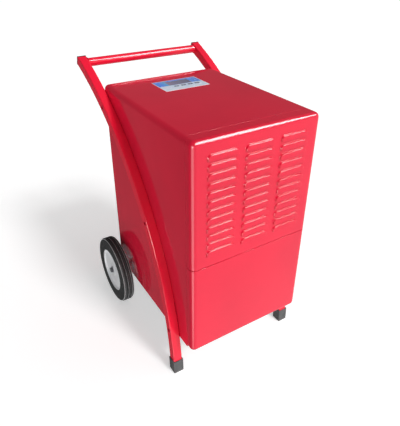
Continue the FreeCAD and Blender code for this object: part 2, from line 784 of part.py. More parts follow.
def axle_spacers():
    """Tubes that keep the wheels off the case."""
    def spacer(side, name):
        return tube(name, "X", (s.wheel_y, wheel_z), span_of(side, half + 0.1, wheel_middle - 14.2), 11,
                    s.axle / 2 + s.running_gap)
    return node(both_sides("axle_spacer", spacer), "axle_spacers")


def wheel_washers():
    """Flat washers between the hubs and the nuts."""
    def washer(side, name):
        start = wheel_middle + 14.2
        return tube(name, "X", (s.wheel_y, wheel_z), span_of(side, start, start + 1.6), 13, 6.1)
    return node(both_sides("wheel_washer", washer), "wheel_washers")


def wheel_nuts():
    """Hexagon nuts on the axle's ends."""
    def nut(side, name):
        start = wheel_middle + 15.8
        x = span_of(side, start, start + 7.5)
        prism = doc.addObject("Part::Prism", f"{name}_hexagon")
        prism.Polygon = 6
        bind(prism, "Circumradius", 9.8)
        bind(prism, "Height", x[1] - x[0])
        move(prism, x[0], s.wheel_y, wheel_z, TURNS["X"])
        bore = rod(f"{name}_bore", "X", (s.wheel_y, wheel_z), (x[0] - 1, x[1] + 1), 6.03)
        return cut(name, prism, bore)
    return node(both_sides("wheel_nut", nut), "wheel_nuts")


# ---------------------------------------------------------------- fan and coils

def fan():
    """A five-bladed axial fan on a hub, turning round an axis along Y."""
    body = new_body("fan_body", s.fan_x, s.fan_y, s.fan_z)
    hub = body.newObject("PartDesign::AdditiveCylinder", "fan_hub")
    bind(hub, "Radius", 34)
    bind(hub, "Height", 26)
    hub.Placement = Placement(Vector(0, 0, 0), TURNS["Y"])
    blade = body.newObject("PartDesign::AdditiveBox", "fan_blade")
    bind(blade, "Length", s.fan_radius - 20)
    bind(blade, "Width", 2)
    bind(blade, "Height", 62)
    pitch = Rotation(Vector(1, 0, 0), 66)
    blade.Placement = Placement(pitch.multVec(Vector(26, -1, -31)) + Vector(0, 13, 0), pitch)
    doc.recompute()
    blades = body.newObject("PartDesign::PolarPattern", "fan_blades")
    blades.Originals = [blade]
    blades.Axis = (origin_part(body, "Y_Axis"), [""])
    blades.Angle = 360
    blades.Occurrences = 5
    body.Tip = blades
    sweep = rod("fan_sweep", "Y", (s.fan_x, s.fan_z), (s.fan_y - 4, s.fan_y + 30), s.fan_radius)
    shaft_hole = rod("fan_shaft_hole", "Y", (s.fan_x, s.fan_z), (s.fan_y - 5, s.fan_y + 31), 4.03)
    return node(cut("fan_cut", common("fan_trimmed", body, sweep), shaft_hole), "fan")


def at_the_top_corners(point):
    """True on the shroud's two upper corners, which fit in the hood's bends."""
    return near(point.z, s.case_top - 4) and near(abs(point.x), inside - 2)


def fan_shroud():
    """The plate that divides off the fan, with a short round duct."""
    plate = rounded_block("shroud_plate", (2 - inside, inside - 2), (s.shroud_y, s.shroud_y + 1.5),
                          (s.deck_height + 2, s.case_top - 4), at_the_top_corners, inner_radius)
    at = (s.fan_x, s.fan_z)
    duct = rod("shroud_duct", "Y", at, (s.shroud_y - 36, s.shroud_y), s.orifice_radius + 1.5)
    bore = rod("shroud_bore", "Y", at, (s.shroud_y - 37, s.shroud_y + 3), s.orifice_radius)
    return node(cut("shroud_cut", fuse("shroud_solid", plate, duct), bore), "fan_shroud")


def motor_bracket():
    """A flat bar across the duct on two pillars, which holds the fan's motor."""
    bar_y = s.shroud_y + 40
    z = (s.fan_z - 14, s.fan_z + 14)
    parts = [block("bracket_bar", (-150, 150), (bar_y, bar_y + 3), z)]
    for word, side in sides.items():
        parts.append(block(f"bracket_pillar_{word}", span_of(side, 132, 150), (s.shroud_y + 1.5, bar_y), z))
    hole = rod("bracket_hole", "Y", (s.fan_x, s.fan_z), (bar_y - 1, bar_y + 4), 12)
    return node(cut("motor_bracket_cut", fuse("motor_bracket_solid", *parts), hole), "motor_bracket")


def fan_motor():
    """A closed motor with a long shaft."""
    at = (s.fan_x, s.fan_z)
    start = s.shroud_y + 43
    barrel = rod("motor_can", "Y", at, (start, start + 58), 42)
    boss = rod("motor_boss", "Y", at, (start - 3, start), 11.9)
    shaft = rod("motor_shaft", "Y", at, (s.fan_y + 1, start), 4)
    return node(fuse("fan_motor_fuse", barrel, boss, shaft), "fan_motor")


coil_rows = 8
coil_bank = 11


def coil_row(number):
    """The height of one row of the coils' tubes."""
    return s.coil_low + (s.coil_high - s.coil_low) / coil_rows * (number + 0.5)


def coil(name, middle_y):
    """A finned coil: thin fins on straight tubes that run right through them."""
    body = new_body(f"{name}_fins")
    body.AllowCompound = True
    fin_count = 27
    fin = solid_box(body, "Additive", f"{name}_fin", (-s.coil_half, -s.coil_half + 0.8),
                    (middle_y - coil_bank * 2, middle_y + coil_bank * 2), (s.coil_low - 6, s.coil_high))
    doc.recompute()
    fins = body.newObject("PartDesign::LinearPattern", f"{name}_fin_row")
    fins.Originals = [fin]
    fins.Direction = (origin_part(body, "X_Axis"), [""])
    fins.Occurrences = fin_count
    bind(fins, "Length", s.coil_half * 2 - 0.8)
    body.Tip = fins
    tubes = []
    for word, y in (("front", middle_y - coil_bank), ("back", middle_y + coil_bank)):
        for number in range(coil_rows):
            tubes.append(rod(f"{name}_tube_{word}_{number}", "X", (y, coil_row(number)),
                             (-coil_side, coil_side), 4.5))
    return node(fuse(f"{name}_fuse", body, *tubes), name)


def drip_tray():
    """The trough below the coils, with the spout that fills the tank."""
    x, y = (-s.coil_half - 8, s.coil_half + 8), (-120, 56)
    low = s.deck_height + 2
    outer = block("drip_outer", x, y, (low, low + 22))
    inner = block("drip_inner", (x[0] + 1.5, x[1] - 1.5), (y[0] + 1.5, y[1] - 1.5), (low + 1.5, low + 23))
    spout = rod("drip_spout", "Z", drain_at, (s.deck_height - 24, low + 1), 12)
    bore = rod("drip_bore", "Z", drain_at, (s.deck_height - 25, low + 3), 10)
    solid = fuse("drip_solid", cut("drip_pan", outer, inner), spout)
    return node(cut("drip_tray_cut", solid, bore), "drip_tray")


# ---------------------------------------------------------------- compressor and pipes

floor = s.case_bottom + 2
compressor_low = floor + 24
compressor_high = floor + 224


def can(name, at, span, radius, rounding):
    """A closed can with rounded ends, standing upright."""
    body = new_body(name, at[0], at[1], span[0])
    barrel = body.newObject("PartDesign::AdditiveCylinder", name + "_barrel")
    bind(barrel, "Radius", radius)
    bind(barrel, "Height", Size.of(span[1]) - span[0])
    height = Size.of(span[1]) - span[0]
    round_edges(body, name + "_ends", barrel, lambda point: near(point.z, 0) or near(point.z, height),
                rounding)
    return body


def mount_places():
    """The four corners of the compressor's base plate."""
    return [(s.compressor_x + x, s.compressor_y + y) for x in (-58, 58) for y in (-52, 52)]


def compressor():
    """Hermetic compressor with its welded base plate."""
    at = (s.compressor_x, s.compressor_y)
    steel_can = can("compressor_can", at, (compressor_low, compressor_high), 60, 24)
    plate = block("compressor_plate", (at[0] - 70, at[0] + 70), (at[1] - 64, at[1] + 64),
                  (floor + 22, floor + 25))
    skirt = rod("compressor_skirt", "Z", at, (compressor_low, floor + 60), 50)
    holes = [rod(f"compressor_hole_{number}", "Z", place, (floor + 20, floor + 27), 4.5)
             for number, place in enumerate(mount_places())]
    solid = fuse("compressor_solid", steel_can, plate, skirt)
    return node(cut("compressor_cut", solid, *holes), "compressor")


def compressor_grommets():
    """Rubber mounts between the compressor's plate and the floor."""
    grommets = [tube(f"grommet_{number}", "Z", at, (floor, floor + 22), 11, 3.4)
                for number, at in enumerate(mount_places())]
    return node(gather("grommet_group", grommets), "compressor_grommets")


def compressor_bolts():
    """Bolts down through the rubber mounts."""
    bolts = [fuse(f"mount_bolt_{number}", rod(f"mount_shank_{number}", "Z", at, (floor, floor + 25), 3),
                  rod(f"mount_head_{number}", "Z", at, (floor + 25, floor + 30), 6))
             for number, at in enumerate(mount_places())]
    return node(gather("mount_bolt_group", bolts), "compressor_bolts")


accumulator_z = (Size.of(215), Size.of(340))


def accumulator():
    """Small can in the suction line that keeps liquid out of the compressor."""
    return node(can("accumulator_can", (s.accumulator_x, s.accumulator_y), accumulator_z, 26, 14),
                "accumulator")


def pipe(name, route, radius, bend):
    """A tube of straight runs and tangent arcs; sizes are read from the sheet."""
    places = [Vector(*(Size.of(value).value for value in point)) for point in route]
    edges = []
    start = places[0]
    for before, corner, after in zip(places, places[1:], places[2:]):
        arrive = (corner - before).normalize()
        leave = (after - corner).normalize()
        half_turn = arrive.getAngle(leave) / 2
        reach = bend * math.tan(half_turn)
        first = corner - arrive * reach
        last = corner + leave * reach
        inward = (leave - arrive).normalize()
        middle = corner + inward * (bend / math.cos(half_turn) - bend)
        edges.append(Part.LineSegment(start, first).toShape())
        edges.append(Part.Arc(first, middle, last).toShape())
        start = last
    edges.append(Part.LineSegment(start, places[-1]).toShape())
    wire = Part.Wire(edges)
    section = Part.Wire(Part.Circle(places[0], places[1] - places[0], radius).toShape())
    feature = doc.addObject("Part::Feature", name + "_run")
    feature.Shape = wire.makePipeShell([section], True, True)
    feature.Placement = Placement(Vector(0, -s.frame_shift.value, 0), Rotation())
    return feature


def discharge_pipe():
    """Hot gas from the compressor's top to the condenser."""
    start_x = s.compressor_x + 20
    start_y = s.compressor_y + 28
    level = compressor_high + 33
    end_y = s.condenser_y + coil_bank
    route = [(start_x, start_y, compressor_high), (start_x, start_y, level), (s.pipe_lane, start_y, level),
             (s.pipe_lane, hot_y, level), (s.pipe_lane, hot_y, coil_row(6)),
             (s.pipe_lane, end_y, coil_row(6)), (coil_side, end_y, coil_row(6))]
    return node(pipe("discharge", route, 4, 12), "discharge_pipe")


def suction_pipe():
    """Cold gas from the evaporator to the accumulator, and from there to the compressor."""
    start_y = s.evaporator_y + coil_bank
    level = s.deck_height - 30
    x, y = s.accumulator_x, s.accumulator_y
    cold = pipe("suction", [(coil_side, start_y, coil_row(1)), (s.pipe_lane, start_y, coil_row(1)),
                            (s.pipe_lane, cold_y, coil_row(1)), (s.pipe_lane, cold_y, level),
                            (x, cold_y, level), (x, y, level), (x, y, accumulator_z[1])], 5, 12)
    low = accumulator_z[0] - 20
    stub = pipe("suction_stub", [(x, y, accumulator_z[0]), (x, y, low), (x, s.compressor_y, low),
                                 (s.compressor_x + 60, s.compressor_y, low)], 5, 10)
    return node(gather("suction_group", [cold, stub]), "suction_pipe")


drier_y = s.condenser_y + coil_bank
drier_z = (Size.of(560), Size.of(640))


def liquid_pipe():
    """Liquid from the condenser to the drier."""
    route = [(-coil_side, drier_y, coil_row(0)), (-s.pipe_lane, drier_y, coil_row(0)),
             (-s.pipe_lane, drier_y, drier_z[0])]
    return node(pipe("liquid", route, 4, 12), "liquid_pipe")


def filter_drier():
    """Copper can in the liquid line."""
    return node(can("drier_can", (-s.pipe_lane, drier_y), drier_z, 10, 6), "filter_drier")


def capillary_tube():
    """Thin tube from the drier to the evaporator, where the liquid expands."""
    level = drier_z[1] + 28
    end_y = s.evaporator_y - coil_bank
    route = [(-s.pipe_lane, drier_y, drier_z[1]), (-s.pipe_lane, drier_y, level),
             (-s.pipe_lane, end_y, level), (-s.pipe_lane, end_y, coil_row(6)),
             (-coil_side, end_y, coil_row(6))]
    return node(pipe("capillary", route, 1.5, 10), "capillary_tube")


# ---------------------------------------------------------------- electrics

def electrical_box():
    """Closed box for the relays and the motors' capacitors."""
    x, y, z = (-190, -90), (96, 186), (s.deck_height + 2, 620)
    outer = block("electrical_outer", x, y, z)
    inner = block("electrical_inner", (x[0] + 2, x[1] - 2), (y[0] + 2, y[1] - 2), (z[0] + 2, z[1] - 2))
    return node(cut("electrical_cut", outer, inner), "electrical_box")


window_x = (Size.of(-32), Size.of(50))
window_y = (Size.of(150), Size.of(190))
board_top = s.case_top - 12


def key_places():
    """The middles of the four keys in their row."""
    return [s.key_first_x + s.key_pitch * number for number in range(4)]


def control_board():
    """Circuit board with the display and four switches, hung below the top on pegs."""
    x = (s.label_x - s.label_width / 2 + 14, s.label_x + s.label_width / 2 - 14)
    y = (s.label_y - s.label_depth / 2 + 10, s.label_y + s.label_depth / 2 - 10)
    display_z = (board_top - 0.5, s.case_top + s.label_thickness - 0.3)
    parts = [block("board_plate", x, y, (board_top - 1.6, board_top)),
             block("board_display", window_x, window_y, display_z)]
    for number, middle in enumerate(key_places()):
        parts.append(block(f"board_switch_{number}", (middle - 3, middle + 3), (s.key_y - 3, s.key_y + 3),
                           (board_top - 0.5, board_top + 4)))
    corners = [(x_end, y_end) for x_end in (x[0] - 4, x[1] + 4) for y_end in (y[0] + 8, y[1] - 8)]
    for number, corner in enumerate(corners):
        parts.append(rod(f"board_peg_{number}", "Z", corner, (board_top - 1.6, s.case_top - s.sheet), 5))
    return node(fuse("control_board_fuse", *parts), "control_board")


def control_label():
    """Printed overlay on the top, cut out for the display and the keys."""
    x = (s.label_x - s.label_width / 2, s.label_x + s.label_width / 2)
    y = (s.label_y - s.label_depth / 2, s.label_y + s.label_depth / 2)
    z = (s.case_top, s.case_top + s.label_thickness)
    plate = block("label_plate", x, y, z)
    through = (z[0] - 1, z[1] + 1)
    slot_half = s.key_width / 2 + 0.3
    slot_y = (s.key_y - s.key_depth / 2 - 0.3, s.key_y + s.key_depth / 2 + 0.3)
    slots = [block(f"label_slot_{number}", (middle - slot_half, middle + slot_half), slot_y, through)
             for number, middle in enumerate(key_places())]
    window = block("label_window", (window_x[0] - 0.1, window_x[1] + 0.1),
                   (window_y[0] - 0.1, window_y[1] + 0.1), through)
    return node(cut("control_label_cut", plate, window, *slots), "control_label")


def key(name, middle):
    """A press key that stands 1 mm proud of the overlay and works the switch below it."""
    low = board_top + 4 + s.key_travel + 0.2
    high = s.case_top + s.label_thickness + 1
    body = new_body(f"key_{name}_body")
    cap = solid_box(body, "Additive", f"key_{name}_cap", (middle - s.key_width / 2, middle + s.key_width / 2),
                    (s.key_y - s.key_depth / 2, s.key_y + s.key_depth / 2), (low, high))
    round_edges(body, f"key_{name}_edges", cap, lambda point: near(point.z, high), 0.5)
    return node(body, f"key_{name}")


def level_switch():
    """Reed switch on the bulkhead, worked by the tank's float."""
    return node(block("level_switch_box", (-14, 14), (s.bulkhead_y - 12, s.bulkhead_y),
                      (float_z - 15, float_z + 17)), "level_switch")


def cord_gland():
    """Cable gland in the back panel; the cord itself isn't part of this model."""
    at = (s.gland_x, s.gland_z)
    start = back + s.sheet
    body = rod("gland_barrel", "Y", at, (back - 9, start + 12), 8)
    flange = rod("gland_flange", "Y", at, (start, start + 4), 13)
    nut = rod("gland_nut", "Y", at, (back - 5, back), 12)
    bore = rod("gland_bore", "Y", at, (back - 10, start + 13), 4)
    return node(cut("cord_gland_cut", fuse("cord_gland_solid", body, flange, nut), bore), "cord_gland")


# ---------------------------------------------------------------- tank and its drawer

tray_half = s.tank_half + 12
tray_low = s.tank_low - 1.5
wing = 8
bail_y = Size.of(-122)
bail_z = s.tank_high - 14
float_y = Size.of(-32)


def drawer_tray():
    """Sheet channel under the tank, fixed to the drawer's front, with a wing down each side."""
    y = (front + s.sheet + 0.5, 2)
    outer = block("drawer_outer", (-tray_half, tray_half), y, (tray_low, tray_low + 20))
    inner = block("drawer_inner", (1.5 - tray_half, tray_half - 1.5), (y[0] - 1, y[1] + 1),
                  (tray_low + 1.5, tray_low + 21))
    parts = [cut("drawer_channel", outer, inner)]
    for word, side in sides.items():
        parts.append(block(f"drawer_wing_{word}", span_of(side, tray_half - 1, tray_half + wing),
                           (-240, y[1]), (tray_low + 8, tray_low + 10)))
    return node(fuse("drawer_tray_fuse", *parts), "drawer_tray")


def drawer_slides():
    """Fixed channels on the case's floor, in which the drawer's wings run."""
    def slide(side, name):
        solid = block(f"{name}_solid", span_of(side, tray_half + 2, tray_half + wing + 4),
                      (seam_y + 6, 12), (floor, tray_low + 24))
        slot = block(f"{name}_slot", span_of(side, tray_half + 1, tray_half + wing + 1),
                     (seam_y + 5, 13), (tray_low + 7.6, tray_low + 10.4))
        return cut(name, solid, slot)
    return node(both_sides("drawer_slide", slide), "drawer_slides")


def tank():
    """Moulded water tank, open on top, with pins for its carrying handle and lugs for its float."""
    box = shell("tank_walls", (-s.tank_half, s.tank_half), (s.tank_front, s.tank_back),
                (s.tank_low, s.tank_high), bends_at([0, 1], [0]), s.tank_wall, 16, "+z")
    parts = [box]
    for word, side in sides.items():
        parts.append(rod(f"tank_pin_{word}", "X", (bail_y, bail_z),
                         span_of(side, s.tank_half - 1, s.tank_half + 9), 5))
        parts.append(block(f"tank_lug_{word}", span_of(side, 14, 18), (float_y - 7, s.tank_back - 1),
                           (float_z - 7, float_z + 7)))
    parts.append(rod("tank_float_pin", "X", (float_y, float_z), (-16, 16), 3))
    return node(fuse("tank_fuse", *parts), "tank")


def tank_handle():
    """Wire carrying handle that lies forward on the tank and swings up."""
    arm = s.tank_half + 5
    at = (bail_y, bail_z)
    reach, rise = 70, 22
    wire = pipe("bail_wire", [(-arm, bail_y - 6, bail_z + 1.6), (-arm, bail_y - reach, bail_z + rise),
                              (arm, bail_y - reach, bail_z + rise), (arm, bail_y - 6, bail_z + 1.6)], 3, 14)
    eyes = [rod(f"bail_eye_{word}", "X", at, span_of(side, s.tank_half + 1.5, s.tank_half + 8.5), 9)
            for word, side in sides.items()]
    bore = rod("bail_bore", "X", at, (-s.tank_half - 12, s.tank_half + 12), 5 + s.running_gap)
    return node(cut("bail_cut", fuse("bail_solid", wire, *eyes), bore), "tank_handle")


def tank_float():
    """Float on a short arm, which rises when the tank is full."""
    arm = pipe("float_arm", [(0, float_y - 5, float_z - 2), (0, float_y - 40, float_z - 18),
                             (0, float_y - 60, float_z - 30)], 3, 20)
    eye = rod("float_eye", "X", (float_y, float_z), (-10, 10), 7)
    body = rod("float_body", "X", (float_y - 68, float_z - 32), (-28, 28), 14)
    bore = rod("float_bore", "X", (float_y, float_z), (-11, 11), 3 + s.running_gap)
    return node(cut("float_cut", fuse("float_solid", arm, eye, body), bore), "tank_float")


# ---------------------------------------------------------------- air filter

filter_y = back + s.sheet + 1
frame_half = s.filter_half - 0.5


def filter_windows(name, y):
    """The frame's two windows, one each side of its middle bar, as blocks between two values of y."""
    z = (s.filter_low + s.filter_rim, s.filter_high - s.filter_rim)
    return [block(f"{name}_{word}", span_of(side, 4, frame_half - s.filter_rim), y, z)
            for word, side in sides.items()]


def filter_frame():
    """Plastic frame of the air filter, with a pull at the top."""
    outer = block("filter_outer", (-frame_half, frame_half), (filter_y, filter_y + s.filter_depth),
                  (s.filter_low, s.filter_high))
    windows = filter_windows("filter_window", (filter_y - 1, filter_y + s.filter_depth + 1))
    pull = block("filter_pull", (-40, 40), (filter_y + 2, filter_y + s.filter_depth),
                 (s.filter_high, s.filter_high + 12))
    return node(fuse("filter_frame_fuse", cut("filter_frame_cut", outer, *windows), pull), "filter_frame")


def filter_mesh():
    """Fine mesh panels in the filter's frame."""
    return node(gather("filter_mesh_group", filter_windows("mesh", (filter_y + 4, filter_y + 5))),
                "filter_mesh")


def filter_channels():
    """Folded channels on the back that the filter slides in, each with a stop at its foot."""
    outer_face = filter_y + s.filter_depth + 3
    z = (s.filter_low - 4, s.filter_high - 20)

    def channel(side, name):
        web = block(f"{name}_web", span_of(side, s.filter_half, s.filter_half + 3),
                    (back + s.sheet, outer_face), z)
        lip = block(f"{name}_lip", span_of(side, s.filter_half - 9, s.filter_half + 3),
                    (outer_face - 2, outer_face), z)
        stop = block(f"{name}_stop", span_of(side, s.filter_half - 20, s.filter_half + 3),
                     (back + s.sheet, outer_face), (z[0], s.filter_low - 0.2))
        return fuse(name, web, lip, stop)
    return node(both_sides("filter_channel", channel), "filter_channels")


# ---------------------------------------------------------------- assembly

hood()
upper_front_panel()
lower_front_panel()
base_tray()
deck()
bulkhead()
back_panel()
back_screws()
for name, side in sides.items():
    rail(name, side)
    foot(name, side)
    tyre(name, side)
    rim(name, side)
    bush(name, side)
rail_plugs()
rail_bolts()
rivet_nuts()
handle_bar()
axle()
axle_brackets()
axle_spacers()
wheel_washers()
wheel_nuts()
fan()
fan_shroud()
motor_bracket()
fan_motor()
coil("condenser", s.condenser_y)
coil("evaporator", s.evaporator_y)
drip_tray()
compressor()
compressor_grommets()
compressor_bolts()
accumulator()
discharge_pipe()
suction_pipe()
liquid_pipe()
filter_drier()
capillary_tube()
electrical_box()
control_board()
control_label()
for name, middle in zip(("power", "mode", "down", "up"), key_places()):
    key(name, middle)
level_switch()
cord_gland()
drawer_tray()
drawer_slides()
tank()
tank_handle()
tank_float()
filter_frame()
filter_mesh()
filter_channels()
doc.recompute()

for item in doc.Objects:
    if "Invalid" in item.State or "Error" in item.State:
        raise RuntimeError(f"{item.Name} did not build")
os.makedirs("parts", exist_ok=True)
for item in NODES:
    shape = item.Shape
    if shape.isNull() or not shape.isValid():
        raise RuntimeError(f"{item.Label} has no sound shape")
for item in NODES:
    item.Shape.exportStep(f"parts/{item.Label}.step")
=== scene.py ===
import json
import math

import bmesh
import bpy
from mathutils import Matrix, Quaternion, Vector


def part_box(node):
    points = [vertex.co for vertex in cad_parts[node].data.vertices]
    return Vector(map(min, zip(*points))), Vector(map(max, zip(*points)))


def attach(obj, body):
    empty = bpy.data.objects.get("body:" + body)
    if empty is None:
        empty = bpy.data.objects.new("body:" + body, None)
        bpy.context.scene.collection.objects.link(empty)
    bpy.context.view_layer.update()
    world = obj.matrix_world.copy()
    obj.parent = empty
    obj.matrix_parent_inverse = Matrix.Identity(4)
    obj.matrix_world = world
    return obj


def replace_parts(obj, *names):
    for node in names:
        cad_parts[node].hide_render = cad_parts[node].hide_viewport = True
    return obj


# A wheeled commercial dehumidifier in glossy red sheet steel, on a pale studio floor.
# Everything is in metres: X across the machine, -Y its louvred front, Z up, the floor at Z = 0.

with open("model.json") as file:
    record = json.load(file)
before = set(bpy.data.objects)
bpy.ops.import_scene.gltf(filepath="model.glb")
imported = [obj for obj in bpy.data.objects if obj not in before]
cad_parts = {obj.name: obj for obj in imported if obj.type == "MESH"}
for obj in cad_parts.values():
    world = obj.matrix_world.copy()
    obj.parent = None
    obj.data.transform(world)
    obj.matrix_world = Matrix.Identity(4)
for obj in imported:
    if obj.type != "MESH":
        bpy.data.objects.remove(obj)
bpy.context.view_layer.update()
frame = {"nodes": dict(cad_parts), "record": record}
NODES = frame["nodes"]
SLOT_OF = {row["node"]: row["material_slot"] for row in frame["record"]["subparts"]}
BODIES = frame["record"]["behaviour"]["bodies"]
BODY_OF = {node: body for body, nodes in BODIES.items() for node in nodes}
MM = 0.001

# Studio directions, as unit vectors that point away from the machine.
BRIGHT_SIDE = (0.5, -0.85, -0.15)
SUNLIT_PATCH = (-0.67, -0.545, -0.5)


# ---------------------------------------------------------------- camera, light and floor

VIEW_AZIMUTH = math.radians(-31.83)
VIEW_ELEVATION = math.radians(30.0)
VIEW_ROLL = math.radians(0.32)
VIEW_DISTANCE = 1.496
VIEW_TARGET = Vector((-0.0101, -0.0735, 0.5107))
LENS = 37.98
SHIFT_UP = -0.0455
LIGHT_TARGET = Vector((0, 0, 0.45))


def direction(azimuth, elevation):
    """A unit vector, azimuth 0 pointing to -Y and positive towards +X."""
    across = math.cos(elevation)
    return Vector((math.sin(azimuth) * across, -math.cos(azimuth) * across, math.sin(elevation)))


def make_camera():
    """The photograph's viewpoint, in front on the left and above."""
    data = bpy.data.cameras.new("camera")
    data.lens = LENS
    data.shift_y = SHIFT_UP
    camera = bpy.data.objects.new("camera", data)
    back = direction(VIEW_AZIMUTH, VIEW_ELEVATION)
    camera.location = VIEW_TARGET + back * VIEW_DISTANCE
    camera.rotation_mode = "QUATERNION"
    level = (-back).to_track_quat("-Z", "Y")
    camera.rotation_quaternion = level @ Quaternion((0, 0, 1), VIEW_ROLL)
    bpy.context.scene.collection.objects.link(camera)
    bpy.context.scene.camera = camera


def make_light(name, kind, azimuth, elevation, strength, size, distance=4.0):
    """A lamp that shines at the middle of the machine from an azimuth and elevation in degrees.

    A sun's size is its angle in degrees. A softbox's is its width and height in metres, and it only
    gives the gloss its highlights.
    """
    data = bpy.data.lights.new(name, kind)
    data.energy = strength
    if kind == "SUN":
        data.angle = math.radians(size)
    else:
        data.shape = "RECTANGLE"
        data.size, data.size_y = size
    lamp = bpy.data.objects.new(name, data)
    lamp.visible_diffuse = kind == "SUN"
    towards = direction(math.radians(azimuth), math.radians(elevation))
    lamp.location = LIGHT_TARGET + towards * distance
    lamp.rotation_mode = "QUATERNION"
    lamp.rotation_quaternion = (-towards).to_track_quat("-Z", "Y")
    bpy.context.scene.collection.objects.link(lamp)


# ---------------------------------------------------------------- materials

class Finish:
    """A procedural material on the piece's own coordinates, in metres."""

    def __init__(self, name, **uniform):
        self.material = bpy.data.materials.new(name)
        self.material.use_nodes = True
        self.tree = self.material.node_tree
        self.shader = self.tree.nodes["Principled BSDF"]
        for socket, value in uniform.items():
            self.shader.inputs[socket.replace("_", " ").title().replace("Ior", "IOR")].default_value = value
        self.place = self.add("TexCoord").outputs["Object"]
        self.normal = None

    def add(self, kind, inputs=(), **settings):
        """A node with its settings, its inputs given as values or as other nodes' outputs."""
        node = self.tree.nodes.new("ShaderNode" + kind)
        for setting, value in settings.items():
            setattr(node, setting, value)
        for socket, value in dict(inputs).items():
            self.feed(node.inputs[socket], value)
        return node

    def feed(self, socket, value):
        """Give a socket a plain value, or link it to another node's output."""
        if isinstance(value, bpy.types.NodeSocket):
            self.tree.links.new(value, socket)
        else:
            socket.default_value = value

    def stretched(self, along):
        """The coordinates scaled along each axis, for streaks."""
        return self.add("Mapping", {"Vector": self.place, "Scale": along}).outputs["Vector"]

    def noise(self, scale, detail=3.0, place=None):
        """Smooth random values round a half, at a number of blotches to the metre."""
        inputs = {"Vector": place or self.place, "Scale": scale, "Detail": detail}
        return self.add("TexNoise", inputs).outputs["Fac"]

    def cells(self, scale, output="Distance", feature="F1"):
        """Irregular cells, at a number to the metre."""
        inputs = {"Vector": self.place, "Scale": scale}
        return self.add("TexVoronoi", inputs, feature=feature).outputs[output]

    def spread(self, value, low, high, to_low=0.0, to_high=1.0):
        """A value mapped from one range to another, clamped."""
        inputs = {"Value": value, "From Min": low, "From Max": high, "To Min": to_low, "To Max": to_high}
        return self.add("MapRange", inputs).outputs["Result"]

    def sums(self, operation, first, second=0.0):
        """One step of arithmetic on values."""
        return self.add("Math", {0: first, 1: second}, operation=operation).outputs[0]

    def blend(self, share, first, second):
        """A mix of two colours."""
        mixer = self.add("Mix", data_type="RGBA")
        for socket, value in ((mixer.inputs["Factor"], share), (mixer.inputs[6], first),
                              (mixer.inputs[7], second)):
            self.feed(socket, value if isinstance(value, (float, bpy.types.NodeSocket)) else (*value, 1.0))
        return mixer.outputs[2]

    def axis(self, name):
        """One of the piece's own coordinates."""
        return self.add("SeparateXYZ", {0: self.place}).outputs[name]

    def edges(self, radius):
        """About 1 along sharp edges and 0 on flat faces. The edges catch the light as if rounded."""
        rounded = self.add("Bevel", {"Radius": radius}, samples=6).outputs["Normal"]
        self.normal = rounded
        flat = self.add("NewGeometry").outputs["Normal"]
        likeness = self.add("VectorMath", {0: rounded, 1: flat}, operation="DOT_PRODUCT").outputs["Value"]
        return self.spread(likeness, 0.995, 0.8)

    def colour(self, value):
        """The surface's colour, plain or from a node."""
        self.feed(self.shader.inputs["Base Color"], value if not isinstance(value, tuple) else (*value, 1.0))

    def roughness(self, value):
        """The surface's roughness, plain or from a node."""
        self.feed(self.shader.inputs["Roughness"], value)

    def bump(self, height, depth):
        """Raise the surface by a height map, whose full range is the depth in metres."""
        inputs = {"Height": height, "Strength": 1.0, "Distance": depth}
        if self.normal:
            inputs["Normal"] = self.normal
        self.normal = self.add("Bump", inputs).outputs["Normal"]
        self.feed(self.shader.inputs["Normal"], self.normal)


def tinted(finish, colour, change, scale, detail=3.0, place=None):
    """Colour that drifts a little lighter and darker over the surface."""
    dark = tuple(channel * (1 - change) for channel in colour)
    light = tuple(min(1.0, channel * (1 + change)) for channel in colour)
    share = finish.spread(finish.noise(scale, detail, place), 0.35, 0.65)
    return finish.blend(share, dark, light)


def red_paint(name, colour):
    """Glossy powder coat: orange peel, sheet metal's slight waves, and lighter patches on the edges, part
    worn thin paint and part painted highlight.
    """
    finish = Finish(name, IOR=1.42)
    body = tinted(finish, colour, 0.05, 4.0)
    # Lighter pink in patches along the edges: part worn thin paint, part painted highlight on the edges.
    edge_wear_and_highlight = finish.edges(0.6 * MM)
    worn_and_highlit = finish.sums("MULTIPLY", edge_wear_and_highlight, finish.spread(finish.noise(60, 6), 0.5, 0.62, 0, 0.5))
    finish.colour(finish.blend(worn_and_highlit, body, (0.80, 0.10, 0.12)))
    smears = finish.noise(9, 5, finish.stretched((1, 1, 0.4)))
    finish.roughness(finish.spread(smears, 0.35, 0.7, 0.05, 0.12))
    finish.bump(finish.noise(5.5, 1), 0.9 * MM)
    finish.bump(finish.noise(420, 1), 0.012 * MM)
    return finish


def rubber(name, colour, dust, dusty):
    """Moulded rubber with a fine grain and a film of dust."""
    finish = Finish(name)
    body = tinted(finish, colour, 0.12, 30)
    film = finish.spread(finish.noise(55, 7), 0.45, 0.75, 0, dusty)
    finish.colour(finish.blend(film, body, dust))
    finish.roughness(finish.spread(finish.noise(80, 4), 0.3, 0.7, 0.55, 0.8))
    finish.bump(finish.noise(900, 2), 0.05 * MM)
    return finish


def enamel(name, colour, roughness, wear):
    """Plain sprayed paint."""
    finish = Finish(name)
    body = tinted(finish, colour, 0.06, 12)
    chips = finish.sums("MULTIPLY", finish.edges(0.6 * MM), finish.spread(finish.noise(150, 5), 0.5, 0.6))
    finish.colour(finish.blend(chips, body, wear))
    finish.roughness(finish.spread(finish.noise(25, 5), 0.3, 0.7, roughness * 0.8, roughness * 1.3))
    finish.bump(finish.noise(500, 2), 0.01 * MM)
    return finish


